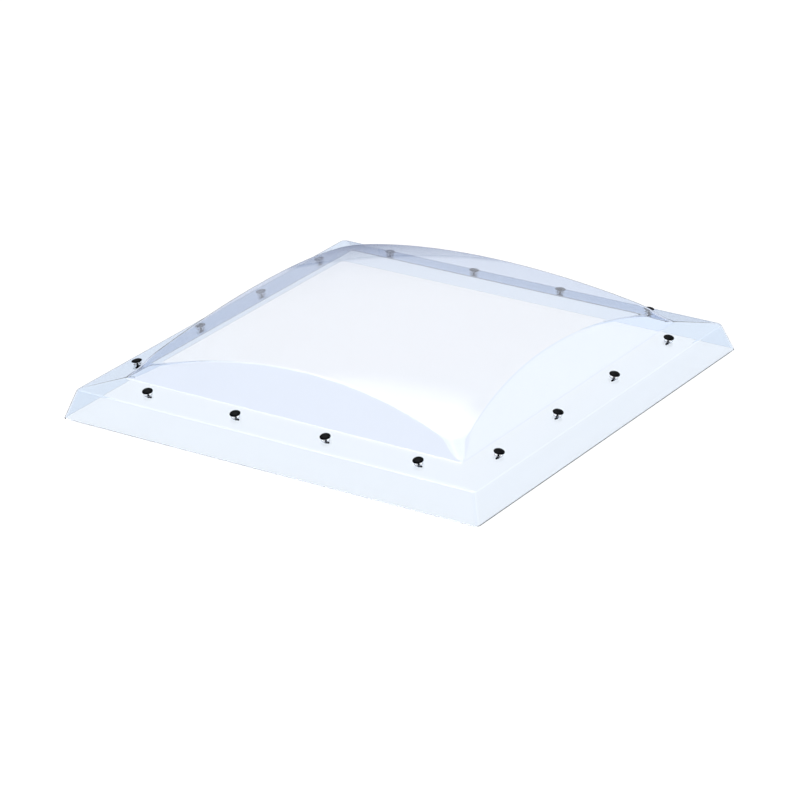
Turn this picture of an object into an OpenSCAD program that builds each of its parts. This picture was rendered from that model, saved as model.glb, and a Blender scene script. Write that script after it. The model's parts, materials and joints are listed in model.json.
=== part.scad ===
// Square clear dome cover for a flat roof window.
// One formed sheet: a leaning outer skirt, a flange that falls outwards, and a raised dome
// with four flat arched sides under a shallow spherical crown. Quarter-turn knobs pass through
// soft grommets in the flange and end in a cross bar that locks under the roof frame.
// Z is up. The origin is the middle of the square, on the plane of the bottom rim.

/* [Cover sheet] */
// Width of the square cover over its bottom rim
cover_w = 1120; // [900:10:1400]
// Thickness of the formed sheet
sheet_t = 3; // [2:0.5:5]
// Height of the bend between skirt and flange
skirt_h = 67; // [45:1:100]
// How far the skirt leans in between the rim and the bend
skirt_lean = 23; // [10:1:40]
// Outer radius of the cover's four corners
corner_r = 11; // [8:1:30]

/* [Flange and dome] */
// Width of the flange on plan, from the bend to the dome
flange_w = 82; // [76:1:110]
// Fall of the flange towards the skirt, in degrees
flange_fall = 12; // [4:1:16]
// Rise of the crown above the dome's base
dome_rise = 133; // [100:1:190]
// Lean of the dome's flat sides from upright, in degrees
side_lean = 35; // [20:1:45]
// Height of the flat sides where they meet at the corners
corner_rise = 20; // [8:1:30]
// Outer radius of the dome's four corners at its base
dome_corner_r = 14; // [8:1:40]

/* [Fastener layout] */
// Fasteners on each side
per_side = 4; // [2:1:6]
// Distance along each side from the cover's corner to the first fastener
end_distance = 195; // [150:5:260]
// Distance on plan from the bend to the line of the fasteners
line_inset = 47; // [36:1:52]
// Diameter of the holes in the flange
hole_d = 17; // [14:0.5:22]

/* [Grommet] */
// How far the grommet's upper lip covers the sheet round the hole
upper_cover = 2; // [1:0.25:3]
// How far the grommet's lower lip reaches under the sheet round the hole
lower_cover = 1; // [0.5:0.25:2]
// Thickness of the upper lip
upper_lip_t = 2.8; // [1.5:0.1:5]
// Thickness of the lower lip
lower_lip_t = 1; // [0.8:0.1:2]
// Gap between the grommet and the sheet it sits in
grommet_gap = 0.05; // [0.02:0.01:0.1]

/* [Knob] */
// Diameter of the knob's head
head_d = 25; // [22:0.5:34]
// Height of the cone under the head
cone_h = 4.6; // [3:0.1:8]
// Height of the domed top over the head's widest line
crown_h = 4.8; // [3:0.1:8]
// Diameter of the stem
stem_d = 6; // [4:0.25:8]
// How much wider than the stem the cone is at its foot
cone_step = 1.5; // [0.5:0.25:3]
// Width of the grip slot across the head
slot_w = 4.5; // [3:0.25:7]
// Depth of the grip slot at the middle of the head
slot_depth = 2.6; // [1:0.1:3]
// Diameter of the cross bar at the stem's lower end
bar_d = 4.4; // [3:0.1:6]
// How much shorter than the hole the cross bar is
bar_gap = 1; // [0.5:0.1:3]
// Free height between the grommet's lower lip and the cross bar, for the roof frame's slotted strip
lock_gap = 2.5; // [1.5:0.1:5]
// Radial running gap between stem and grommet
stem_gap = 0.05; // [0.02:0.01:0.1]
// Gap between the head's cone and the grommet's upper lip
turn_gap = 0.1; // [0.05:0.05:0.3]

/* [Hidden] */
fastener_count = 4 * per_side;
grommet_names = [for (i = [1 : fastener_count]) str("grommet_", i)];
knob_names = [for (i = [1 : fastener_count]) str("knob_", i)];

$fn = 64;
// Steps in each small round corner of the sheet
corner_steps = 8;
// How far cutting shapes run past what they cut, and how far flange and dome run into each other
past = 1;
lap = 6;

// The sheet's section, as [distance from the middle, height], with the direction of each run in degrees
half_w = cover_w / 2;
skirt_dir = 90 + atan(skirt_lean / skirt_h);
flange_dir = 180 - flange_fall;
side_dir = 90 + side_lean;
rim = [half_w, 0];
bend = [half_w - skirt_lean, skirt_h];
base = bend + [-flange_w, flange_w * tan(flange_fall)];

// A point moved through the sheet, square to the run it lies on
function through(p, dir) = p + sheet_t * [-sin(dir), cos(dir)];
// Where two runs meet, each given by a point and a direction
function meet(p, p_dir, q, q_dir) =
    let (u = [cos(p_dir), sin(p_dir)], v = [cos(q_dir), sin(q_dir)])
    p + u * cross(q - p, v) / cross(u, v);

inner_rim = meet(through(rim, skirt_dir), skirt_dir, [0, -past], 0);
inner_bend = meet(through(rim, skirt_dir), skirt_dir, through(bend, flange_dir), flange_dir);
inner_base = meet(through(bend, flange_dir), flange_dir, through(base, side_dir), side_dir);

// The crown is a sphere through the tops of the dome's four corners
corner_top = (base[0] - corner_rise * tan(side_lean)) * sqrt(2);
crown_over_corner = dome_rise - corner_rise;
crown_r = (pow(corner_top, 2) + pow(crown_over_corner, 2)) / (2 * crown_over_corner);
crown_z = base[1] + dome_rise;
crown_centre = crown_z - crown_r;

// Where the fasteners stand on the flange
line_u = bend[0] - line_inset;
line_z = bend[1] + line_inset * tan(flange_fall);
row_half = half_w - end_distance;
row_pitch = 2 * row_half / (per_side - 1);

// Heights along a fastener's axis, from the flange's upper face
grommet_top = grommet_gap + upper_lip_t;
grommet_bottom = -sheet_t - grommet_gap - lower_lip_t;
cone_foot = grommet_top + turn_gap;
head_widest = cone_foot + cone_h;
head_top = head_widest + crown_h;
bar_axis = grommet_bottom - lock_gap - bar_d / 2;
bar_length = hole_d - bar_gap;
stem_end = bar_axis - bar_d / 2;
// Edge break on the cross bar's ends and the stem's end
edge = 0.6;

// Outline of a square with round corners, at one height
function outline(half, r, z) = [
    for (quarter = [0 : 3], step = [0 : corner_steps])
        let (mid = 45 + 90 * quarter, at = mid - 45 + 90 * step / corner_steps)
        [sqrt(2) * (half - r) * cos(mid) + r * cos(at), sqrt(2) * (half - r) * sin(mid) + r * sin(at), z]
];

// Solid through a stack of such outlines, lowest first, each given as [half width, corner radius, height]
module stack(levels) {
    n = 4 * (corner_steps + 1);
    top = n * (len(levels) - 1);
    polyhedron(
        points = [for (level = levels) each outline(level[0], level[1], level[2])],
        faces = concat(
            [[for (k = [0 : n - 1]) k]],
            [for (i = [0 : n : top - n], k = [0 : n - 1])
                [i + k, i + n + k, i + n + (k + 1) % n, i + (k + 1) % n]],
            [[for (k = [n - 1 : -1 : 0]) top + k]]
        )
    );
}

// Skirt and flange as one solid block, whose flange runs on a little way inside the dome
module block(low, mid, foot, r, r_foot) {
    high = foot + lap * [-1, tan(flange_fall)];
    stack([[low[0], r, low[1]], [mid[0], r, mid[1]], [high[0], r_foot, high[1]]]);
}

// The dome as a solid: four leaning sides cut off by the crown's sphere
module dome_block(foot, r_foot, r_crown) {
    under = foot + past * [tan(side_lean), -1];
    over = foot + (crown_z + past - foot[1]) * [-tan(side_lean), 1];
    intersection() {
        stack([[under[0], r_foot, under[1]], [over[0], r_foot, over[1]]]);
        translate([0, 0, crown_centre]) sphere(r = r_crown, $fn = 4 * $fn);
    }
}

// Moves to fastener number i, with Z square to the flange and X along the side
module at_fastener(i) {
    side = floor((i - 1) / per_side);
    x = -row_half + ((i - 1) % per_side) * row_pitch;
    rotate([0, 0, 90 * side])
        translate([x, -line_u, line_z])
            rotate([flange_fall, 0, 0])
                children();
}

// The clear sheet, with a round hole for each fastener
module dome_sheet() {
    color([0.84, 0.9, 0.97, 0.45])
    difference() {
        union() {
            block(rim, bend, base, corner_r, dome_corner_r);
            dome_block(base, dome_corner_r, crown_r);
        }
        block(inner_rim, inner_bend, inner_base, corner_r - sheet_t, dome_corner_r - sheet_t);
        dome_block(inner_base, dome_corner_r - sheet_t, crown_r - sheet_t);
        for (i = [1 : fastener_count])
            at_fastener(i)
                translate([0, 0, -sheet_t - past])
                    cylinder(d = hole_d, h = sheet_t + 2 * past);
    }
}

// A soft grommet: a lip on each face of the sheet, a waist in its hole and a bore for the stem
module grommet(i) {
    waist_r = hole_d / 2 - grommet_gap;
    upper_r = hole_d / 2 + upper_cover;
    lower_r = hole_d / 2 + lower_cover;
    bore_r = stem_d / 2 + stem_gap;
    color([0.78, 0.83, 0.9, 0.6])
    at_fastener(i)
        rotate_extrude()
            polygon([
                [bore_r, grommet_bottom],
                [lower_r - edge, grommet_bottom],
                [lower_r, -sheet_t - grommet_gap],
                [waist_r, -sheet_t - grommet_gap],
                [waist_r, grommet_gap],
                [upper_r, grommet_gap],
                [upper_r - edge, grommet_top],
                [bore_r, grommet_top]
            ]);
}

// A quarter-turn knob: slotted mushroom head, stem and cross bar, moulded as one
module knob(i) {
    head_r = head_d / 2;
    crown_line = [for (t = [0 : 15 : 75]) [head_r * cos(t), head_widest + crown_h * sin(t)]];
    foot_r = stem_d / 2 + cone_step;
    color([0.04, 0.04, 0.05])
    at_fastener(i) {
        difference() {
            rotate_extrude()
                polygon(concat(
                    [[0, cone_foot], [foot_r, cone_foot]],
                    [[head_r - edge, head_widest - edge]],
                    crown_line,
                    [[0, head_top]]
                ));
            translate([-slot_w / 2, -head_r - past, head_top - slot_depth])
                cube([slot_w, head_d + 2 * past, slot_depth + past]);
        }
        translate([0, 0, stem_end + edge])
            cylinder(d = stem_d, h = cone_foot - stem_end);
        translate([0, 0, stem_end])
            cylinder(d1 = stem_d - 2 * edge, d2 = stem_d, h = edge);
        translate([-bar_length / 2 + edge, 0, bar_axis])
            rotate([0, 90, 0])
                cylinder(d = bar_d, h = bar_length - 2 * edge);
        for (m = [0, 1])
            mirror([m, 0, 0])
                translate([bar_length / 2 - edge, 0, bar_axis])
                    rotate([0, 90, 0])
                        cylinder(d1 = bar_d, d2 = bar_d - 2 * edge, h = edge);
    }
}

dome_sheet();
for (i = [1 : fastener_count])
    grommet(i);
for (i = [1 : fastener_count])
    knob(i);
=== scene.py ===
import json
import math

import bmesh
import bpy
from mathutils import Matrix, Vector

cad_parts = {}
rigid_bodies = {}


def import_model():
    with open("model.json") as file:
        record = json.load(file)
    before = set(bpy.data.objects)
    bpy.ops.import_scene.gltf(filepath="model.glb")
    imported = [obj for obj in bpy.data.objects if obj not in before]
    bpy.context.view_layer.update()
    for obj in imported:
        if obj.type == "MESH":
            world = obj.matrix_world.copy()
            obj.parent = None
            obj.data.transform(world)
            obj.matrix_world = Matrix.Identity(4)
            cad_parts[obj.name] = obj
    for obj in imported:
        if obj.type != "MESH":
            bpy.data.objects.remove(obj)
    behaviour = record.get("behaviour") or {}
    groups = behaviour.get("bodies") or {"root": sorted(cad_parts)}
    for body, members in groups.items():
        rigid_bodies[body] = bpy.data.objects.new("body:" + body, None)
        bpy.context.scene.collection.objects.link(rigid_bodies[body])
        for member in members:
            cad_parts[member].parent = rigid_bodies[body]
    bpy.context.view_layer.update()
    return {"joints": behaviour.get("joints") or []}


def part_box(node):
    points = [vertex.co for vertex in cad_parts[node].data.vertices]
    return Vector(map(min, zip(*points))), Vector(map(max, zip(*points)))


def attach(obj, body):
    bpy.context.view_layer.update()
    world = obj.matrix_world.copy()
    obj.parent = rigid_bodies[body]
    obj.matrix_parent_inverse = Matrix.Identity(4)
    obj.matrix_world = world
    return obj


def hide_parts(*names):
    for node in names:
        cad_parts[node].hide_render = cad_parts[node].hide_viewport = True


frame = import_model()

MM = 0.001

# The sheet's section, in millimetres, as the part is made: rim, bend, dome base, side lean, crown
SHEET_T = 3.0
SKIRT_H = 67.0
SKIRT_LEAN = 23.0
CORNER_R = 11.0
FLANGE_W = 82.0
FLANGE_FALL = math.radians(12)
DOME_RISE = 133.0
SIDE_LEAN = math.radians(35)
CORNER_RISE = 20.0
# The dome's corners widen as they rise: the radius at the base, and the radius gained over the first rise
DOME_CORNER_R = 6.0
CORNER_GAIN = 31.0
CORNER_GAIN_RISE = 18.6
HOLE_R = 8.5
# Radii that the softened sheet takes over the mould's edges
BEND_R = 8.0
BASE_R = 8.0
CREASE_REACH = 5.0

# Fastener sizes along its own axis, in millimetres, with 0 on the flange's upper face
STEM_R = 3.0
HEAD_R = 12.5
CONE_FOOT = 2.95
CONE_FOOT_R = 4.5
HEAD_WIDEST = 7.55
HEAD_TOP = 12.35
SLOT_W = 4.5
SLOT_DEPTH = 2.6
BAR_R = 2.2
BAR_LENGTH = 16.0
BAR_AXIS = -8.75
GROMMET_TOP = 2.85
GROMMET_BOTTOM = -4.05
UPPER_LIP_R = 10.5
LOWER_LIP_R = 9.5
GROMMET_GAP = 0.05

KNOB_ROUNDING = 0.35
STEM_BORE_GAP = 0.05
# Each hole's cutter reaches this far above and below the flange's upper face
HOLE_CUT_REACH = 12.0

# Acrylic's own index is about 1.49. The sheet takes less, so that its far side stays visible through it
SHEET_IOR = 1.3
ELASTOMER_IOR = 1.12
SKIRT_CAST = "#EBF2FA"
CROWN_CAST = "#EEF1F7"
# Painted shade on the leaning sides: the tint they are mixed to, darker and bluer than the crown, standing in
# for the darker surround they reflect
SIDE_PAINTED_SHADE = "#E7EEFA"
# Upward part of a face's normal for the painted shade: the arched sides are below the first and take it in
# full, the crown and flange above the second and take none
SIDE_LEVEL = 0.87
CROWN_LEVEL = 0.95
# Height above the skirt's top, in millimetres, over which the painted shade on the sides comes in
SIDE_SHADE_RISE = 14.0
# How far apart each finish's marks are, in millimetres
FORMING_WAVES = 120.0
WIPING_HAZE = 25.0
SAW_MARKS = 1.5
MOULD_FLOW = 3.0
MOULD_GRAIN = 0.6
ELASTOMER_BLOOM = 4.0

# The studio: the light table, and the surround's colours from straight down (-1) to straight up (1)
TABLE_R = 300000.0
TABLE_GLOW = 0.96
TABLE_DROP = 0.3
TABLE_COLOUR = "#2A2B2D"
FAR_SIDE = [(-0.01, "#6F7A99"), (0.05, "#E0E5F0"), (0.4, "#FBFCFE"), (0.7, "#FFFFFF")]
NEAR_SIDE = [(-0.01, "#6F7A99"), (0.05, "#F4F6FB"), (0.2, "#F4F6FB"), (0.45, "#3070C0"), (0.75, "#E8ECF4")]
# From the near side's colours to the far side's, by how far a direction points to the back
NEAR_SIDE_ENDS = -0.35
FAR_SIDE_STARTS = 0.1
# Soft lights in the surround: a power, then its edges. An edge is a direction, and the cosines to it at which
# the light has faded out and is full
SOFTBOX = (2.4, [((0, 0, 1), 0.66, 0.75), ((-0.25, 1, 0), 0.665, 0.56), ((0, 1, 0), -0.35, -0.2),
                 ((0.884, 0.468, 0), 0.075, 0.03)])
OVERHEAD = (3.0, [((0, 0, 1), 0.8, 0.86)])
SIDE_LIGHT = (1.1, [((1, 0, 0), 0.25, 0.45), ((0, 0, 1), 0.12, 0.3), ((0, 0, 1), 0.6, 0.45)])

SPOT_PLACE = Vector((0.8, -1.2, 3.7))
SPOT_SIZE = 0.6
SPOT_WATTS = 30.0

# The view: angles in degrees, distance and aim in metres, lens in millimetres
VIEW_AZIMUTH = 34.354
VIEW_ELEVATION = 23.818
VIEW_ROLL = -1.606
VIEW_DISTANCE = 8.785
VIEW_AIM = Vector((0.0456, -0.0865, 0.0))
VIEW_LENS = 173.13
VIEW_SENSOR = 36.0
VIEW_REACH = 1000.0

cover_low, cover_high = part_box("dome_sheet")
HALF_W = (cover_high[0] - cover_low[0]) / 2 / MM


# ---------------------------------------------------------------- materials

def linear(hex_colour):
    """sRGB hex to the linear colour that shaders take."""
    parts = [int(hex_colour[k:k + 2], 16) / 255 for k in (1, 3, 5)]
    return [c / 12.92 if c <= 0.04045 else ((c + 0.055) / 1.055) ** 2.4 for c in parts] + [1.0]


def add(tree, kind, settings=None, **links):
    """Adds a node, sets its properties or unlinked inputs, and links the others from node outputs."""
    node = tree.nodes.new(kind)
    for name, value in (settings or {}).items():
        if name in node.inputs:
            node.inputs[name].default_value = value
        else:
            setattr(node, name, value)
    for name, source in links.items():
        tree.links.new(source, node.inputs[name.replace("_", " ")])
    return node


def new_material(name):
    """A material with an empty tree, its shader and its object coordinates in metres."""
    material = bpy.data.materials.new(name)
    material.use_nodes = True
    tree = material.node_tree
    tree.nodes.clear()
    shader = tree.nodes.new("ShaderNodeBsdfPrincipled")
    output = tree.nodes.new("ShaderNodeOutputMaterial")
    tree.links.new(shader.outputs["BSDF"], output.inputs["Surface"])
    place = add(tree, "ShaderNodeTexCoord").outputs["Object"]
    return material, tree, shader, place


def clear_formed_acrylic():
    """Acrylic sheet, warmed and drawn up into a dome: clear and glossy, with a cool cast, and painted shade
    on its leaning sides.
    """
    material, tree, shader, place = new_material("clear_formed_acrylic")
    # The drawn sheet is thinnest on the crown, so its cast is greyer there and bluer at the skirt and flange
    height = add(tree, "ShaderNodeSeparateXYZ", Vector=place).outputs["Z"]
    drawn = add(tree, "ShaderNodeMapRange", {"From Min": SKIRT_H * MM, "From Max": 190 * MM}, Value=height)
    cast = add(tree, "ShaderNodeMix", {"data_type": "RGBA"}, Factor=drawn.outputs["Result"])
    cast.inputs[6].default_value = linear(SKIRT_CAST)
    cast.inputs[7].default_value = linear(CROWN_CAST)
    # Painted shade: the leaning arched sides, found by their normal, are tinted darker and bluer than the
    # crown, standing in for the darker surround they reflect, which shows them against the crown
    facing = add(tree, "ShaderNodeSeparateXYZ", Vector=add(tree, "ShaderNodeNewGeometry").outputs["Normal"])
    lean = add(tree, "ShaderNodeMath", {"operation": "ABSOLUTE"})
    tree.links.new(facing.outputs["Z"], lean.inputs[0])
    painted_shade_mask = add(tree, "ShaderNodeMapRange", {"From Min": CROWN_LEVEL, "From Max": SIDE_LEVEL},
                  Value=lean.outputs["Value"])
    risen = add(tree, "ShaderNodeMapRange",
                {"From Min": SKIRT_H * MM, "From Max": (SKIRT_H + SIDE_SHADE_RISE) * MM}, Value=height)
    side = add(tree, "ShaderNodeMath", {"operation": "MULTIPLY"})
    tree.links.new(painted_shade_mask.outputs["Result"], side.inputs[0])
    tree.links.new(risen.outputs["Result"], side.inputs[1])
    # The cast with the painted shade of the leaning sides mixed in
    formed = add(tree, "ShaderNodeMix", {"data_type": "RGBA"}, Factor=side.outputs["Value"])
    tree.links.new(cast.outputs[2], formed.inputs[6])
    formed.inputs[7].default_value = linear(SIDE_PAINTED_SHADE)
    tree.links.new(formed.outputs[2], shader.inputs["Base Color"])
    # Slow waves, a hand's width apart, that forming leaves in the surface
    waves = add(tree, "ShaderNodeTexNoise", {"Scale": 1 / (FORMING_WAVES * MM), "Detail": 1.0}, Vector=place)
    bump = add(tree, "ShaderNodeBump", {"Strength": 0.1, "Distance": 0.4 * MM}, Height=waves.outputs["Fac"])
    tree.links.new(bump.outputs["Normal"], shader.inputs["Normal"])
    # Fine wiping haze
    haze = add(tree, "ShaderNodeTexNoise", {"Scale": 1 / (WIPING_HAZE * MM), "Detail": 6.0}, Vector=place)
    rough = add(tree, "ShaderNodeMapRange", {"To Min": 0.0, "To Max": 0.004}, Value=haze.outputs["Fac"])
    tree.links.new(rough.outputs["Result"], shader.inputs["Roughness"])
    shader.inputs["IOR"].default_value = SHEET_IOR
    shader.inputs["Transmission Weight"].default_value = 1.0
    return material


def sawn_acrylic_edge():
    """The trimmed edge of the sheet: fine saw marks leave it pale, clear and a little matt."""
    material, tree, shader, place = new_material("sawn_acrylic_edge")
    saw = add(tree, "ShaderNodeTexNoise", {"Scale": 1 / (SAW_MARKS * MM), "Detail": 3.0}, Vector=place)
    rough = add(tree, "ShaderNodeMapRange", {"To Min": 0.1, "To Max": 0.3}, Value=saw.outputs["Fac"])
    tree.links.new(rough.outputs["Result"], shader.inputs["Roughness"])
    shader.inputs["Base Color"].default_value = linear("#E6EFFA")
    shader.inputs["IOR"].default_value = SHEET_IOR
    shader.inputs["Transmission Weight"].default_value = 1.0
    return material


def black_moulded_acetal():
    """Black acetal from a polished mould: deep black, with a faint gloss and a trace of flow in it."""
    material, tree, shader, place = new_material("black_moulded_acetal")
    flow = add(tree, "ShaderNodeTexNoise", {"Scale": 1 / (MOULD_FLOW * MM), "Detail": 4.0}, Vector=place)
    rough = add(tree, "ShaderNodeMapRange", {"To Min": 0.16, "To Max": 0.3}, Value=flow.outputs["Fac"])
    tree.links.new(rough.outputs["Result"], shader.inputs["Roughness"])
    grain = add(tree, "ShaderNodeTexNoise", {"Scale": 1 / (MOULD_GRAIN * MM), "Detail": 2.0}, Vector=place)
    bump = add(tree, "ShaderNodeBump", {"Strength": 0.2, "Distance": 0.03 * MM}, Height=grain.outputs["Fac"])
    tree.links.new(bump.outputs["Normal"], shader.inputs["Normal"])
    shader.inputs["Base Color"].default_value = linear("#040506")
    shader.inputs["Specular IOR Level"].default_value = 0.02
    return material


def soft_clear_elastomer():
    """Soft moulded elastomer: milky clear and satin, so the stem shows faintly through it."""
    material, tree, shader, place = new_material("soft_clear_elastomer")
    bloom = add(tree, "ShaderNodeTexNoise", {"Scale": 1 / (ELASTOMER_BLOOM * MM), "Detail": 3.0},
                Vector=place)
    rough = add(tree, "ShaderNodeMapRange", {"To Min": 0.05, "To Max": 0.2}, Value=bloom.outputs["Fac"])
    tree.links.new(rough.outputs["Result"], shader.inputs["Roughness"])
    shader.inputs["Base Color"].default_value = linear("#F2F5FA")
    shader.inputs["IOR"].default_value = ELASTOMER_IOR
    shader.inputs["Transmission Weight"].default_value = 1.0
    return material


# ---------------------------------------------------------------- shapes

def object_from(name, verts, faces, *materials):
    """A mesh object in the scene, from corners in millimetres, with its materials."""
    mesh = bpy.data.meshes.new(name)
    mesh.from_pydata([Vector(v) * MM for v in verts], [], faces)
    mesh.update()
    piece = bpy.data.objects.new(name, mesh)
    bpy.context.scene.collection.objects.link(piece)
    for material in materials:
        mesh.materials.append(material)
    return piece


def smooth(piece, angle=40):
    """Shades a piece smooth and keeps the edges that turn further than the angle sharp."""
    piece.data.shade_smooth()
    piece.data.set_sharp_from_angle(angle=math.radians(angle))


def bake_modifiers(piece):
    """Keeps the mesh that the piece's modifiers make, and drops the modifiers."""
    graph = bpy.context.evaluated_depsgraph_get()
    made = bpy.data.meshes.new_from_object(piece.evaluated_get(graph), depsgraph=graph)
    old = piece.data
    piece.modifiers.clear()
    piece.data = made
    bpy.data.meshes.remove(old)


def boolean(piece, other, operation):
    """Cuts other from piece or joins it on, and removes other."""
    step = piece.modifiers.new(operation, "BOOLEAN")
    step.operation = operation
    step.solver = "EXACT"
    step.object = other
    bake_modifiers(piece)
    bpy.data.objects.remove(other)


def arc(centre, radius, start, end, steps):
    """Points on an arc in a section, with angles in radians."""
    turns = [start + (end - start) * k / steps for k in range(steps + 1)]
    return [(centre[0] + radius * math.cos(t), centre[1] + radius * math.sin(t)) for t in turns]


def lathe(name, section, material, steps=48):
    """A solid turned about Z. Its section runs from axis to axis, or closes on itself round a bore."""
    solid = section[0][0] == 0
    inner = section[1:-1] if solid else section
    verts = [(r * math.cos(math.tau * k / steps), r * math.sin(math.tau * k / steps), z)
             for r, z in inner for k in range(steps)]
    rows = len(inner)
    faces = [[row * steps + k, row * steps + (k + 1) % steps,
              (row + 1) % rows * steps + (k + 1) % steps, (row + 1) % rows * steps + k]
             for row in range(rows - 1 if solid else rows) for k in range(steps)]
    if solid:
        low, high = len(verts), len(verts) + 1
        verts += [(0, 0, section[0][1]), (0, 0, section[-1][1])]
        faces += [[low, (k + 1) % steps, k] for k in range(steps)]
        last = (rows - 1) * steps
        faces += [[high, last + k, last + (k + 1) % steps] for k in range(steps)]
    return object_from(name, verts, faces, material)


# ---------------------------------------------------------------- the clear sheet

SIDE_STEPS = 64
CORNER_STEPS = 16
QUARTER = SIDE_STEPS + CORNER_STEPS


def outline_point(number, half, radius):
    """One point of a square with round corners. A quarter runs from one corner's middle to the next."""
    quarter, step = divmod(number, QUARTER)
    flat = half - radius
    half_steps = CORNER_STEPS // 2
    if half_steps < step < half_steps + SIDE_STEPS:
        x, y = half, flat * (2 * (step - half_steps) / SIDE_STEPS - 1)
    else:
        above = step > half_steps
        past = step - half_steps - (SIDE_STEPS if above else 0)
        angle = math.pi / 2 * past / CORNER_STEPS
        x, y = flat + radius * math.cos(angle), (flat if above else -flat) + radius * math.sin(angle)
    turn = math.pi / 2 * quarter
    return x * math.cos(turn) - y * math.sin(turn), x * math.sin(turn) + y * math.cos(turn)


def outline(half, radius, z):
    """All the points of that outline at one height."""
    return [Vector((*outline_point(number, half, radius), z)) for number in range(4 * QUARTER)]


def fillet(corner, before, after, radius, steps):
    """Rounds a corner of the section. before and after are unit directions into and out of it."""
    turning = math.acos(before[0] * after[0] + before[1] * after[1])
    reach = radius * math.tan(turning / 2)
    start = (corner[0] - before[0] * reach, corner[1] - before[1] * reach)
    side = math.copysign(1, before[0] * after[1] - before[1] * after[0])
    normal = (-before[1] * side, before[0] * side)
    centre = (start[0] + normal[0] * radius, start[1] + normal[1] * radius)
    first = math.atan2(-normal[1], -normal[0])
    return arc(centre, radius, first, first + side * turning, steps)


def sheet_rings():
    """The sheet's outer face as rings, from the rim up to where the crown begins, each a list of points."""
    skirt = math.atan2(SKIRT_H, -SKIRT_LEAN)
    flange = math.pi - FLANGE_FALL
    side = math.pi / 2 + SIDE_LEAN
    along_skirt, along_flange, along_side = [(math.cos(a), math.sin(a)) for a in (skirt, flange, side)]
    bend = (HALF_W - SKIRT_LEAN, SKIRT_H)
    base = (bend[0] - FLANGE_W, bend[1] + FLANGE_W * math.tan(FLANGE_FALL))
    bend_rows = fillet(bend, along_skirt, along_flange, BEND_R, 8)
    base_rows = fillet(base, along_flange, along_side, BASE_R, 6)
    first = (HALF_W, 0.0)

    def between(a, b, steps):
        return [(a[0] + (b[0] - a[0]) * k / steps, a[1] + (b[1] - a[1]) * k / steps) for k in range(1, steps)]

    section = [first] + between(first, bend_rows[0], 4) + bend_rows
    section += between(bend_rows[-1], base_rows[0], 8) + base_rows
    rings = []
    for u, z in section:
        share = min(max((bend[0] - u) / FLANGE_W, 0), 1)
        radius = CORNER_R + (DOME_CORNER_R - CORNER_R) * share
        rings.append(outline(u, radius, z))

    corner_top = (base[0] - CORNER_RISE * math.tan(SIDE_LEAN)) * math.sqrt(2)
    over = DOME_RISE - CORNER_RISE
    crown_r = (corner_top ** 2 + over ** 2) / (2 * over)
    crown_centre = base[1] + DOME_RISE - crown_r

    def crown_height(x, y):
        return crown_centre + math.sqrt(crown_r ** 2 - x * x - y * y)

    def on_side(number, z):
        rise = max(z - base[1], 0)
        radius = DOME_CORNER_R + CORNER_GAIN * (rise / CORNER_GAIN_RISE) ** (2 / 3)
        return Vector((*outline_point(number, base[0] - rise * math.tan(SIDE_LEAN), radius), z))

    # Where each point's way up the side meets the crown, by halving the span of heights
    foot = rings[-1]
    tops = []
    for number in range(len(foot)):
        low, high = foot[number].z, base[1] + DOME_RISE
        for _ in range(30):
            z = (low + high) / 2
            point = on_side(number, z)
            if z < crown_height(point.x, point.y):
                low = z
            else:
                high = z
        tops.append(on_side(number, low))

    side_rows, crease_rows = 8, 8
    lines = []
    for number, (start, top) in enumerate(zip(foot, tops)):
        rise = top.z - start.z
        reach = min(CREASE_REACH, rise / 2)
        line = []
        for k in range(1, side_rows + 1):
            z = start.z + (rise - reach) * k / side_rows
            line.append(on_side(number, z))
        before = line[-1]
        inward = Vector((top.x, top.y, 0)).normalized() * -reach
        x, y = top.x + inward.x, top.y + inward.y
        after = Vector((x, y, crown_height(x, y)))
        for k in range(1, crease_rows + 1):
            t = k / crease_rows
            line.append(before * (1 - t) ** 2 + top * 2 * t * (1 - t) + after * t * t)
        lines.append(line)
    rings += [list(row) for row in zip(*lines)]
    return rings, crown_height


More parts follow.
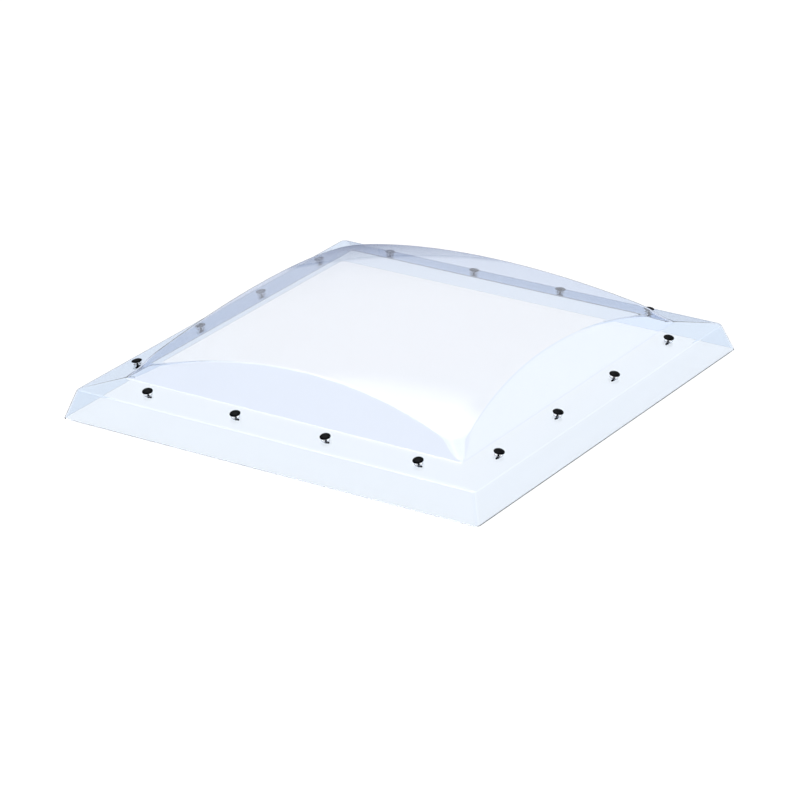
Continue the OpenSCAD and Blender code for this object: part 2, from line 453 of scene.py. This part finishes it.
def clear_sheet(acrylic, edge):
    """The formed sheet: its outer face, an inner face one thickness inside, and the sawn rim between."""
    rings, crown_height = sheet_rings()
    count = len(rings[0])
    quarter = QUARTER
    verts = [p for ring in rings for p in ring]
    faces = []
    for low in range(0, (len(rings) - 1) * count, count):
        high = low + count
        faces += [[low + i, low + (i + 1) % count, high + (i + 1) % count, high + i] for i in range(count)]

    # The crown: a grid stretched between the four runs of the last ring, lifted to the crown's height
    last = (len(rings) - 1) * count
    right, back, left, front = [[last + (q * quarter + k) % count for k in range(quarter + 1)]
                                for q in range(4)]
    grid = [[None] * (quarter + 1) for _ in range(quarter + 1)]
    for k in range(quarter + 1):
        grid[quarter][k] = right[k]
        grid[quarter - k][quarter] = back[k]
        grid[0][quarter - k] = left[k]
        grid[k][0] = front[k]
    for i in range(1, quarter):
        for j in range(1, quarter):
            u, v = i / quarter, j / quarter
            a = verts[grid[i][0]] * (1 - v) + verts[grid[i][quarter]] * v
            b = verts[grid[0][j]] * (1 - u) + verts[grid[quarter][j]] * u
            c = (verts[grid[0][0]] * (1 - u) * (1 - v) + verts[grid[quarter][0]] * u * (1 - v)
                 + verts[grid[0][quarter]] * (1 - u) * v + verts[grid[quarter][quarter]] * u * v)
            p = a + b - c
            grid[i][j] = len(verts)
            verts.append(Vector((p.x, p.y, crown_height(p.x, p.y))))
    faces += [[grid[i][j], grid[i + 1][j], grid[i + 1][j + 1], grid[i][j + 1]]
              for i in range(quarter) for j in range(quarter)]

    outer = object_from("outer_face", verts, faces)
    normals = [n.vector.copy() for n in outer.data.vertex_normals]
    bpy.data.objects.remove(outer)
    skirt_slope = math.atan(SKIRT_LEAN / SKIRT_H)
    inner = []
    for i, (p, n) in enumerate(zip(verts, normals)):
        if i < count:
            flat = Vector((n.x, n.y, 0)).normalized()
            inner.append(p - flat * SHEET_T / math.cos(skirt_slope))
        else:
            inner.append(p - n * SHEET_T)
    shift = len(verts)
    total = faces + [[shift + k for k in reversed(face)] for face in faces]
    rim_from = len(total)
    total += [[(i + 1) % count, i, shift + i, shift + (i + 1) % count] for i in range(count)]
    sheet = object_from("clear_sheet", verts + inner, total, acrylic, edge)
    for polygon in list(sheet.data.polygons)[rim_from:]:
        polygon.material_index = 1

    cutters = []
    for joint in frame["joints"]:
        reach = HOLE_CUT_REACH
        cutter = lathe("hole", [(0, -reach), (HOLE_R, -reach), (HOLE_R, reach), (0, reach)], edge, 64)
        cutter.data.transform(fastener_place(joint))
        cutters.append(cutter)
    bm = bmesh.new()
    for cutter in cutters:
        bm.from_mesh(cutter.data)
        bpy.data.objects.remove(cutter)
    holes = object_from("holes", [], [], edge)
    bm.to_mesh(holes.data)
    bm.free()
    boolean(sheet, holes, "DIFFERENCE")
    smooth(sheet, 30)
    return sheet


# ---------------------------------------------------------------- fasteners

def fastener_place(joint):
    """The matrix from a fastener's own axes to the cover's: Z square to the flange, X along the side."""
    up = Vector(joint["axis"]).normalized()
    along = Vector((0, 0, 1)).cross(up).normalized() * -1
    across = up.cross(along)
    turn = Matrix((along, across, up)).transposed().to_4x4()
    return Matrix.Translation(Vector(joint["pos_m"])) @ turn


def knob_shape(acetal):
    """A slotted mushroom head on a stem with a cross bar, moulded as one."""
    rim_z = HEAD_WIDEST - 0.5
    crown = [(HEAD_R * math.cos(t), HEAD_WIDEST + (HEAD_TOP - HEAD_WIDEST) * math.sin(t))
             for t in [math.pi / 2 * k / 14 for k in range(14)]]
    stem_end = BAR_AXIS - BAR_R
    section = [(0, stem_end), (STEM_R - 0.8, stem_end), (STEM_R - 0.2, stem_end + 0.25),
               (STEM_R, stem_end + 0.8), (STEM_R, CONE_FOOT - 0.5), (STEM_R + 0.3, CONE_FOOT),
               (CONE_FOOT_R, CONE_FOOT + 0.05)]
    section += [(CONE_FOOT_R + (HEAD_R - 0.7 - CONE_FOOT_R) * k / 5,
                 CONE_FOOT + 0.1 + (rim_z - CONE_FOOT - 0.3) * (k / 5) ** 1.15) for k in range(1, 6)]
    section += [(HEAD_R - 0.15, rim_z)] + crown + [(0, HEAD_TOP)]
    knob = lathe("knob_shape", section, acetal)
    slot = rounded_bar("slot", SLOT_W, 2 * HEAD_R + 4, 2 * SLOT_DEPTH, 1.1, acetal)
    slot.data.transform(Matrix.Translation((0, 0, HEAD_TOP * MM)))
    boolean(knob, slot, "DIFFERENCE")
    half = BAR_LENGTH / 2
    bar_end = [(BAR_R, half - 0.7), (BAR_R - 0.15, half - 0.2), (BAR_R - 0.6, half), (0, half)]
    bar_start = [(r, -z) for r, z in reversed(bar_end)]
    bar = lathe("bar", bar_start + bar_end, acetal, 32)
    bar.data.transform(Matrix.Translation((0, 0, BAR_AXIS * MM)) @ Matrix.Rotation(math.pi / 2, 4, "Y"))
    boolean(knob, bar, "UNION")
    soften = knob.modifiers.new("soften", "BEVEL")
    soften.width = KNOB_ROUNDING * MM
    soften.segments = 2
    soften.limit_method = "ANGLE"
    soften.angle_limit = math.radians(40)
    bake_modifiers(knob)
    smooth(knob, 50)
    return knob


def rounded_bar(name, width, length, height, radius, material):
    """A bar along Y with round lower edges, centred on the origin."""
    w, h = width / 2, height / 2
    section = [(-w, h)] + arc((-w + radius, -h + radius), radius, math.pi, 1.5 * math.pi, 5)
    section += arc((w - radius, -h + radius), radius, 1.5 * math.pi, 2 * math.pi, 5) + [(w, h)]
    n = len(section)
    verts = [(x, y, z) for y in (-length / 2, length / 2) for x, z in section]
    faces = [[k, (k + 1) % n, n + (k + 1) % n, n + k] for k in range(n)]
    faces += [list(reversed(range(n))), list(range(n, 2 * n))]
    return object_from(name, verts, faces, material)


def grommet_shape(elastomer):
    """A turned section with soft lips above and below the sheet."""
    bore = STEM_R + STEM_BORE_GAP
    waist = HOLE_R - GROMMET_GAP
    upper = [(waist, GROMMET_GAP)] + arc((UPPER_LIP_R - 0.5, GROMMET_GAP + 0.5), 0.5, -math.pi / 2, 0, 4)
    upper += arc((UPPER_LIP_R - 1.3, GROMMET_TOP - 1.2), 1.2, 0, math.pi / 2, 6)
    lower_face = -SHEET_T - GROMMET_GAP
    lower = arc((LOWER_LIP_R - 0.5, GROMMET_BOTTOM + 0.5), 0.5, -math.pi / 2, 0, 4)
    lower += [(LOWER_LIP_R, lower_face), (waist, lower_face)]
    section = [(bore, GROMMET_BOTTOM)] + lower + upper
    section += [(bore + 0.2, GROMMET_TOP), (bore, GROMMET_TOP - 0.2)]
    grommet = lathe("grommet_shape", section, elastomer)
    smooth(grommet, 45)
    return grommet


def place_fasteners(acetal, elastomer):
    """One knob and one grommet at each fastener, each standing for its own node."""
    knob, grommet = knob_shape(acetal), grommet_shape(elastomer)
    for joint in frame["joints"]:
        number = joint["child"].split("_")[1]
        place = fastener_place(joint)
        for shape, body in ((knob, joint["child"]), (grommet, joint["parent"])):
            word = "knob" if shape is knob else "grommet"
            mesh = shape.data.copy()
            mesh.transform(place)
            piece = bpy.data.objects.new(f"{word}_piece_{number}", mesh)
            bpy.context.scene.collection.objects.link(piece)
            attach(piece, body)
            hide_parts(f"{word}_{number}")
    for shape in (knob, grommet):
        bpy.data.objects.remove(shape)


# ---------------------------------------------------------------- studio

def sky_tone(tree, height, stops):
    """The surround's colour by height, where stops run from -1 to 1."""
    tone = add(tree, "ShaderNodeValToRGB", Fac=height)
    ramp = tone.color_ramp
    while len(ramp.elements) < len(stops):
        ramp.elements.new(0.5)
    for stop, (level, colour) in zip(ramp.elements, stops):
        stop.position = (level + 1) / 2
        stop.color = linear(colour)
    return tone.outputs["Color"]


def combined(tree, operation, first, second):
    """Two numbers, set or from a node, put together in one step."""
    step = add(tree, "ShaderNodeMath", {"operation": operation})
    for socket, value in zip(step.inputs, (first, second)):
        if isinstance(value, float):
            socket.default_value = value
        else:
            tree.links.new(value, socket)
    return step.outputs["Value"]


def studio():
    """A white light table for a floor, a pale surround with soft lights in it, and one spot."""
    rim = arc((0, 0), TABLE_R, 0, math.tau, 96)[:-1]
    table = object_from("light_table", [(x, y, -TABLE_DROP) for x, y in rim], [list(range(len(rim)))])
    material, _, shader, _ = new_material("white_light_table")
    shader.inputs["Base Color"].default_value = linear(TABLE_COLOUR)
    shader.inputs["Roughness"].default_value = 0.9
    shader.inputs["Emission Color"].default_value = linear("#FFFFFF")
    shader.inputs["Emission Strength"].default_value = TABLE_GLOW
    table.data.materials.append(material)
    table.visible_glossy = False

    world = bpy.data.worlds.new("studio")
    bpy.context.scene.world = world
    world.use_nodes = True
    tree = world.node_tree
    tree.nodes.clear()
    way = add(tree, "ShaderNodeTexCoord").outputs["Generated"]
    parts = add(tree, "ShaderNodeSeparateXYZ", Vector=way)
    height = add(tree, "ShaderNodeMapRange", {"From Min": -1.0, "From Max": 1.0}, Value=parts.outputs["Z"])
    side = add(tree, "ShaderNodeMapRange", {"From Min": NEAR_SIDE_ENDS, "From Max": FAR_SIDE_STARTS},
               Value=parts.outputs["Y"])
    tone = add(tree, "ShaderNodeMix", {"data_type": "RGBA"}, Factor=side.outputs["Result"])
    tree.links.new(sky_tone(tree, height.outputs["Result"], NEAR_SIDE), tone.inputs[6])
    tree.links.new(sky_tone(tree, height.outputs["Result"], FAR_SIDE), tone.inputs[7])
    strength = 1.0
    for power, edges in (SOFTBOX, OVERHEAD, SIDE_LIGHT):
        reach = power
        for way_in, fades, full in edges:
            facing = add(tree, "ShaderNodeVectorMath", {"operation": "DOT_PRODUCT"}, Vector=way)
            facing.inputs[1].default_value = way_in
            low, high = sorted((fades, full))
            edge = add(tree, "ShaderNodeMapRange",
                       {"interpolation_type": "SMOOTHSTEP", "From Min": low, "From Max": high,
                        "To Min": float(full < fades), "To Max": float(full > fades)},
                       Value=facing.outputs["Value"])
            reach = combined(tree, "MULTIPLY", reach, edge.outputs["Result"])
        strength = combined(tree, "ADD", strength, reach)
    light = add(tree, "ShaderNodeBackground", Color=tone.outputs[2], Strength=strength)
    output = tree.nodes.new("ShaderNodeOutputWorld")
    tree.links.new(light.outputs["Background"], output.inputs["Surface"])

    lamp = bpy.data.lights.new("spot", "AREA")
    lamp.shape = "DISK"
    lamp.size = SPOT_SIZE
    lamp.energy = SPOT_WATTS
    spot = bpy.data.objects.new("spot", lamp)
    bpy.context.scene.collection.objects.link(spot)
    spot.location = SPOT_PLACE
    spot.rotation_euler = (-SPOT_PLACE).to_track_quat("-Z", "Y").to_euler()


def camera():
    """A long lens, low over one corner, that looks a little past the middle of the cover."""
    azimuth, elevation, roll = [math.radians(a) for a in (VIEW_AZIMUTH, VIEW_ELEVATION, VIEW_ROLL)]
    back = Vector((math.sin(azimuth) * math.cos(elevation), -math.cos(azimuth) * math.cos(elevation),
                   math.sin(elevation)))
    level = Vector((0, 0, 1)).cross(back).normalized()
    upright = back.cross(level)
    right = level * math.cos(roll) + upright * math.sin(roll)
    up = upright * math.cos(roll) - level * math.sin(roll)
    data = bpy.data.cameras.new("camera")
    data.sensor_width = VIEW_SENSOR
    data.lens = VIEW_LENS
    data.clip_end = VIEW_REACH
    view = bpy.data.objects.new("camera", data)
    bpy.context.scene.collection.objects.link(view)
    place = Matrix.Translation(VIEW_AIM + back * VIEW_DISTANCE)
    view.matrix_world = place @ Matrix((right, up, back)).transposed().to_4x4()
    bpy.context.scene.camera = view


camera()
studio()
bpy.context.scene.view_settings.view_transform = "Standard"

cover = clear_sheet(clear_formed_acrylic(), sawn_acrylic_edge())
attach(cover, "cover")
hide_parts("dome_sheet")
place_fasteners(black_moulded_acetal(), soft_clear_elastomer())
